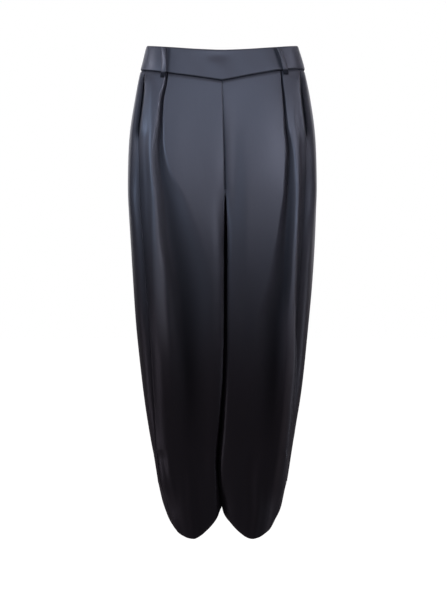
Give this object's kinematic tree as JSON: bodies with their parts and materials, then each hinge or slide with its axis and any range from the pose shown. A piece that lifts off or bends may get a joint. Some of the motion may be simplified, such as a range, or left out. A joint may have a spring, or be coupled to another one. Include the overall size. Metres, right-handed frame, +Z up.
{
  "type": "balloon trousers",
  "caption": "High-waisted balloon trousers in dark satin, filled out as if worn, with a pointed waistband, pleated fronts and gathered ankles.",
  "frame": {"origin": "middle of the waist opening, at the height of its sides", "axes": "+Z up through the waist opening; the front faces -Y; the wearer's left is +X"},
  "size_m": [0.372, 0.2643, 0.9816],
  "materials": {
    "satin": "dark slate satin, soft sheen",
    "zip_tape": "matt woven tape",
    "zip_metal": "dark enamelled metal"
  },
  "bodies": {
    "garment": {"front_leg_left": "satin", "front_leg_right": "satin", "back_leg_left": "satin", "back_leg_right": "satin", "waistband_front": "satin", "waistband_back_left": "satin", "waistband_back_right": "satin", "ankle_band_left": "satin", "ankle_band_right": "satin", "belt_loop_front_left": "satin", "belt_loop_front_right": "satin", "belt_loop_back_left": "satin", "belt_loop_back_right": "satin", "pocket_facing_left": "satin", "pocket_facing_right": "satin", "zip_tape": "zip_tape", "zip_slider": "zip_metal"},
    "pull": {"zip_pull": "zip_metal"}
  },
  "joints": [
    {"name": "pull_swing", "type": "hinge", "parent": "garment", "child": "pull", "pos_m": [0, 0.10492, -0.01315], "axis": [1, 0, 0], "range_deg": [0, 165]}
  ]
}
